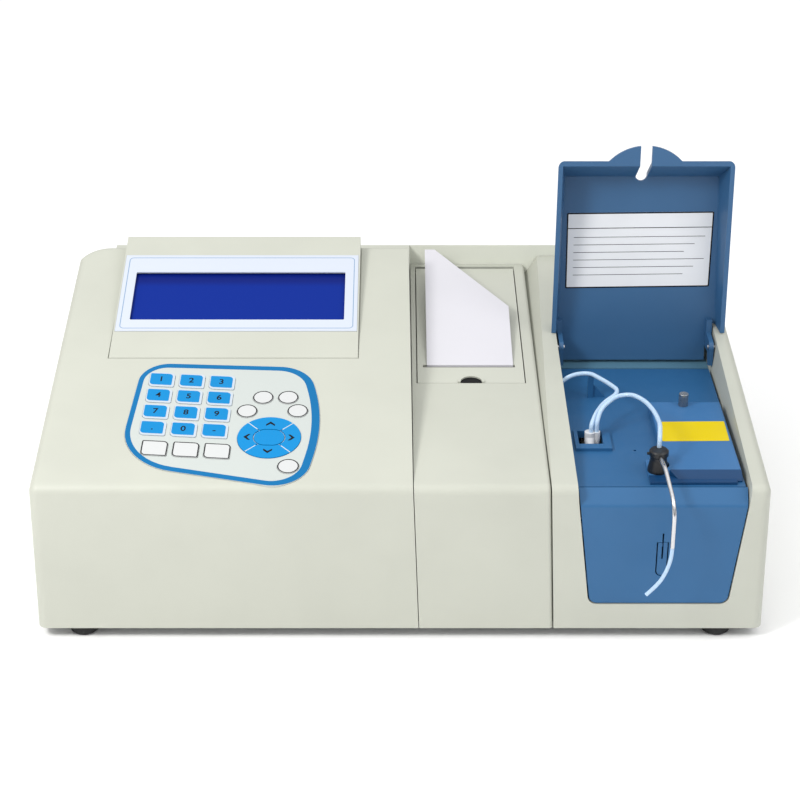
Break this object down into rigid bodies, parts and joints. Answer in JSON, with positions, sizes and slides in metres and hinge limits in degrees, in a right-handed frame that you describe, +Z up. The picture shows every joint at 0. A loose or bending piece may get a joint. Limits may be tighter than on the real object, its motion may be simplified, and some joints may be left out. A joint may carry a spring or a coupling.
{
  "type": "benchtop chemistry analyzer",
  "caption": "Wedge-shaped bench analyzer with a tilted display, keypad, strip printer with paper, and a sample bay with tubes, sipping probe and hinged lid standing open.",
  "frame": {"origin": "bottom centre of the whole instrument without its soft tubes, on the table", "axes": "+X along the width, to the user's right; +Y to the back; +Z up"},
  "size_m": [0.453, 0.3452, 0.2586],
  "materials": {
    "case_cream": "fine satin moulding",
    "pan_grey": "grey powder coat",
    "foot_black": "matte",
    "fascia_pale": "satin film",
    "screen_blue": "clear glossy face over a blue display",
    "pad_blue": "satin film with pale and blue fields",
    "key_blue": "satin",
    "key_white": "satin",
    "key_sky": "satin",
    "paper_white": "smooth thermal paper",
    "roller_black": "matte",
    "frame_grey": "matte",
    "bay_blue": "satin",
    "lid_blue": "fine satin moulding",
    "cover_blue": "satin paint",
    "screw_steel": "knurled",
    "holder_black": "satin",
    "probe_steel": "polished tube",
    "tube_clear": "milky soft tube",
    "fitting_white": "satin",
    "board_green": "lacquered",
    "supply_steel": "folded sheet",
    "socket_black": "matte",
    "optic_black": "black anodised"
  },
  "bodies": {
    "case": {"base_pan": "pan_grey", "left_cover": "case_cream", "middle_cover": "case_cream", "right_cover": "case_cream", "rear_cover": "case_cream", "feet": "foot_black", "display_housing": "case_cream", "display_fascia": "fascia_pale", "display_module": "screen_blue", "keypad_overlay": "pad_blue", "main_board": "board_green", "power_supply": "supply_steel", "power_inlet": "socket_black", "printer_frame": "frame_grey", "deck": "bay_blue", "lamp_cover": "cover_blue", "photometer": "optic_black", "pump_body": "fitting_white", "front_door": "bay_blue", "tube_connector": "fitting_white", "sipper_holder": "holder_black", "sipper_probe": "probe_steel", "drain_tube": "tube_clear", "sipper_tube": "tube_clear", "tip_tube": "tube_clear", "lid_pins": "probe_steel"},
    "lid": {"lid": "lid_blue"},
    "printer_cover": {"printer_cover": "case_cream"},
    "paper": {"paper_strip": "paper_white"},
    "platen": {"platen_roller": "roller_black"},
    "roll": {"paper_roll": "paper_white"},
    "screw": {"thumb_screw": "screw_steel"},
    "rotor": {"pump_rotor": "frame_grey"},
    "trigger": {"sipper_trigger": "bay_blue"},
    "rocker": {"power_switch": "socket_black"},
    "key_blue_1": {"key_blue_1": "key_blue"},
    "key_blue_4": {"key_blue_4": "key_blue"},
    "key_blue_7": {"key_blue_7": "key_blue"},
    "key_blue_10": {"key_blue_10": "key_blue"},
    "key_plain_1": {"key_plain_1": "key_white"},
    "key_blue_2": {"key_blue_2": "key_blue"},
    "key_blue_5": {"key_blue_5": "key_blue"},
    "key_blue_8": {"key_blue_8": "key_blue"},
    "key_blue_11": {"key_blue_11": "key_blue"},
    "key_plain_2": {"key_plain_2": "key_white"},
    "key_blue_3": {"key_blue_3": "key_blue"},
    "key_blue_6": {"key_blue_6": "key_blue"},
    "key_blue_9": {"key_blue_9": "key_blue"},
    "key_blue_12": {"key_blue_12": "key_blue"},
    "key_plain_3": {"key_plain_3": "key_white"},
    "key_round_1": {"key_round_1": "key_sky"},
    "key_round_2": {"key_round_2": "key_sky"},
    "key_round_3": {"key_round_3": "key_sky"},
    "key_round_4": {"key_round_4": "key_sky"},
    "key_round_5": {"key_round_5": "key_sky"},
    "key_right": {"key_right": "key_sky"},
    "key_up": {"key_up": "key_sky"},
    "key_left": {"key_left": "key_sky"},
    "key_down": {"key_down": "key_sky"},
    "key_centre": {"key_centre": "key_sky"}
  },
  "joints": [
    {"name": "lid_hinge", "type": "hinge", "parent": "case", "child": "lid", "pos_m": [0.1604, 0.02567, 0.119], "axis": [1, 0, 0], "range_deg": [0, 97]},
    {"name": "printer_cover_hinge", "type": "hinge", "parent": "case", "child": "printer_cover", "pos_m": [0.0469, 0.13667, 0.12608], "axis": [-1, 0, 0], "range_deg": [0, 70]},
    {"name": "paper_flex", "type": "hinge", "parent": "printer_cover", "child": "paper", "pos_m": [0.04665, -0.00402, 0.11932], "axis": [-1, 0, 0], "range_deg": [-70, 10]},
    {"name": "roll_turn", "type": "hinge", "parent": "case", "child": "roll", "pos_m": [0.0469, 0.07867, 0.084], "axis": [1, 0, 0], "continuous": true},
    {"name": "platen_turn", "type": "hinge", "parent": "case", "child": "platen", "pos_m": [0.0469, -0.00483, 0.103], "axis": [1, 0, 0], "continuous": true},
    {"name": "screw_turn", "type": "hinge", "parent": "case", "child": "screw", "pos_m": [0.1845, -0.04283, 0.109], "axis": [0, 0, 1], "continuous": true},
    {"name": "rotor_turn", "type": "hinge", "parent": "case", "child": "rotor", "pos_m": [0.136, -0.09233, 0.0185], "axis": [0, 0, 1], "continuous": true},
    {"name": "trigger_press", "type": "hinge", "parent": "case", "child": "trigger", "pos_m": [0.161, -0.14772, 0.0675], "axis": [1, 0, 0], "range_deg": [0, 6], "stiffness_Nm_per_rad": 0.02, "springref_deg": -2.86},
    {"name": "rocker_tip", "type": "hinge", "parent": "case", "child": "rocker", "pos_m": [-0.149, 0.16667, 0.044], "axis": [-1, 0, 0], "range_deg": [0, 16]},
    {"name": "key_blue_1_press", "type": "slide", "parent": "case", "child": "key_blue_1", "axis": [0, -0.2079, 0.9781], "range_m": [-0.0005, 0], "stiffness_N_per_m": 1000, "springref_m": 0.0005},
    {"name": "key_blue_4_press", "type": "slide", "parent": "case", "child": "key_blue_4", "axis": [0, -0.2079, 0.9781], "range_m": [-0.0005, 0], "stiffness_N_per_m": 1000, "springref_m": 0.0005},
    {"name": "key_blue_7_press", "type": "slide", "parent": "case", "child": "key_blue_7", "axis": [0, -0.2079, 0.9781], "range_m": [-0.0005, 0], "stiffness_N_per_m": 1000, "springref_m": 0.0005},
    {"name": "key_blue_10_press", "type": "slide", "parent": "case", "child": "key_blue_10", "axis": [0, -0.2079, 0.9781], "range_m": [-0.0005, 0], "stiffness_N_per_m": 1000, "springref_m": 0.0005},
    {"name": "key_plain_1_press", "type": "slide", "parent": "case", "child": "key_plain_1", "axis": [0, -0.2079, 0.9781], "range_m": [-0.0005, 0], "stiffness_N_per_m": 1000, "springref_m": 0.0005},
    {"name": "key_blue_2_press", "type": "slide", "parent": "case", "child": "key_blue_2", "axis": [0, -0.2079, 0.9781], "range_m": [-0.0005, 0], "stiffness_N_per_m": 1000, "springref_m": 0.0005},
    {"name": "key_blue_5_press", "type": "slide", "parent": "case", "child": "key_blue_5", "axis": [0, -0.2079, 0.9781], "range_m": [-0.0005, 0], "stiffness_N_per_m": 1000, "springref_m": 0.0005},
    {"name": "key_blue_8_press", "type": "slide", "parent": "case", "child": "key_blue_8", "axis": [0, -0.2079, 0.9781], "range_m": [-0.0005, 0], "stiffness_N_per_m": 1000, "springref_m": 0.0005},
    {"name": "key_blue_11_press", "type": "slide", "parent": "case", "child": "key_blue_11", "axis": [0, -0.2079, 0.9781], "range_m": [-0.0005, 0], "stiffness_N_per_m": 1000, "springref_m": 0.0005},
    {"name": "key_plain_2_press", "type": "slide", "parent": "case", "child": "key_plain_2", "axis": [0, -0.2079, 0.9781], "range_m": [-0.0005, 0], "stiffness_N_per_m": 1000, "springref_m": 0.0005},
    {"name": "key_blue_3_press", "type": "slide", "parent": "case", "child": "key_blue_3", "axis": [0, -0.2079, 0.9781], "range_m": [-0.0005, 0], "stiffness_N_per_m": 1000, "springref_m": 0.0005},
    {"name": "key_blue_6_press", "type": "slide", "parent": "case", "child": "key_blue_6", "axis": [0, -0.2079, 0.9781], "range_m": [-0.0005, 0], "stiffness_N_per_m": 1000, "springref_m": 0.0005},
    {"name": "key_blue_9_press", "type": "slide", "parent": "case", "child": "key_blue_9", "axis": [0, -0.2079, 0.9781], "range_m": [-0.0005, 0], "stiffness_N_per_m": 1000, "springref_m": 0.0005},
    {"name": "key_blue_12_press", "type": "slide", "parent": "case", "child": "key_blue_12", "axis": [0, -0.2079, 0.9781], "range_m": [-0.0005, 0], "stiffness_N_per_m": 1000, "springref_m": 0.0005},
    {"name": "key_plain_3_press", "type": "slide", "parent": "case", "child": "key_plain_3", "axis": [0, -0.2079, 0.9781], "range_m": [-0.0005, 0], "stiffness_N_per_m": 1000, "springref_m": 0.0005},
    {"name": "key_round_1_press", "type": "slide", "parent": "case", "child": "key_round_1", "axis": [0, -0.2079, 0.9781], "range_m": [-0.0005, 0], "stiffness_N_per_m": 1000, "springref_m": 0.0005},
    {"name": "key_round_2_press", "type": "slide", "parent": "case", "child": "key_round_2", "axis": [0, -0.2079, 0.9781], "range_m": [-0.0005, 0], "stiffness_N_per_m": 1000, "springref_m": 0.0005},
    {"name": "key_round_3_press", "type": "slide", "parent": "case", "child": "key_round_3", "axis": [0, -0.2079, 0.9781], "range_m": [-0.0005, 0], "stiffness_N_per_m": 1000, "springref_m": 0.0005},
    {"name": "key_round_4_press", "type": "slide", "parent": "case", "child": "key_round_4", "axis": [0, -0.2079, 0.9781], "range_m": [-0.0005, 0], "stiffness_N_per_m": 1000, "springref_m": 0.0005},
    {"name": "key_round_5_press", "type": "slide", "parent": "case", "child": "key_round_5", "axis": [0, -0.2079, 0.9781], "range_m": [-0.0005, 0], "stiffness_N_per_m": 1000, "springref_m": 0.0005},
    {"name": "key_right_press", "type": "slide", "parent": "case", "child": "key_right", "axis": [0, -0.2079, 0.9781], "range_m": [-0.0005, 0], "stiffness_N_per_m": 1000, "springref_m": 0.0005},
    {"name": "key_up_press", "type": "slide", "parent": "case", "child": "key_up", "axis": [0, -0.2079, 0.9781], "range_m": [-0.0005, 0], "stiffness_N_per_m": 1000, "springref_m": 0.0005},
    {"name": "key_left_press", "type": "slide", "parent": "case", "child": "key_left", "axis": [0, -0.2079, 0.9781], "range_m": [-0.0005, 0], "stiffness_N_per_m": 1000, "springref_m": 0.0005},
    {"name": "key_down_press", "type": "slide", "parent": "case", "child": "key_down", "axis": [0, -0.2079, 0.9781], "range_m": [-0.0005, 0], "stiffness_N_per_m": 1000, "springref_m": 0.0005},
    {"name": "key_centre_press", "type": "slide", "parent": "case", "child": "key_centre", "axis": [0, -0.2079, 0.9781], "range_m": [-0.0005, 0], "stiffness_N_per_m": 1000, "springref_m": 0.0005}
  ],
  "couplings": [
    {"joint": "paper_flex", "follows": "printer_cover_hinge", "ratio": -0.9},
    {"joint": "platen_turn", "follows": "roll_turn", "ratio": -3.8333}
  ]
}
